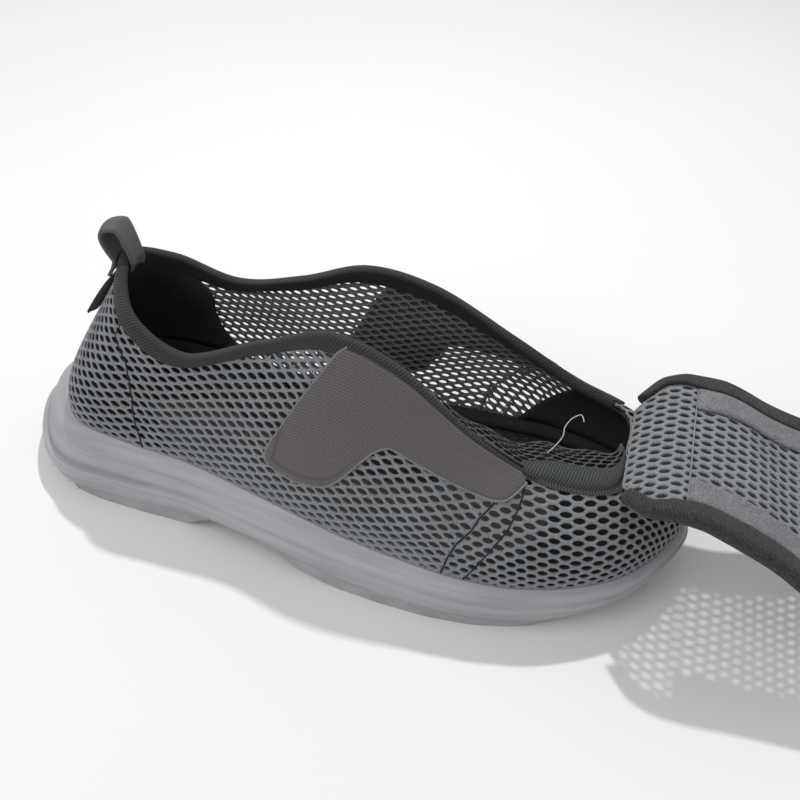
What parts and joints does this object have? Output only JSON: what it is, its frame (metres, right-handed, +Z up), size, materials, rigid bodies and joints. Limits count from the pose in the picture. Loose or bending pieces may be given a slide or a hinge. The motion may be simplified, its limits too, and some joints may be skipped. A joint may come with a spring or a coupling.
{
  "type": "post operative shoe",
  "caption": "Open mesh post operative shoe for the right foot, its wide throat flap folded forward over the toe, on a moulded foam sole with an arch.",
  "frame": {"origin": "on the floor, under the middle of the flat spot of the heel tread", "axes": "+X along the foot to the toe, +Y to the medial side, +Z up"},
  "size_m": [0.3726, 0.1109, 0.1121],
  "materials": {
    "foam": "matt moulded foam",
    "outsole_rubber": "matt rubber",
    "footbed_foam": "black cloth on foam",
    "spacer_mesh": "open knitted mesh with oval holes",
    "binding_tape": "dark twill tape",
    "loop_patch": "coarse loop cloth",
    "hook_tape": "fuzzy hook tape",
    "loop_webbing": "flat webbing",
    "tab_cloth": "plain dark cloth"
  },
  "bodies": {
    "root": {"midsole": "foam", "heel_tread": "outsole_rubber", "forefoot_tread": "outsole_rubber", "insole": "footbed_foam", "upper": "spacer_mesh", "binding": "binding_tape", "lateral_patch": "loop_patch", "medial_patch": "loop_patch", "flap": "spacer_mesh", "flap_tape": "binding_tape", "lateral_hook_strip": "hook_tape", "medial_hook_strip": "hook_tape", "pull_loop": "loop_webbing", "heel_tab": "tab_cloth"}
  },
  "joints": []
}
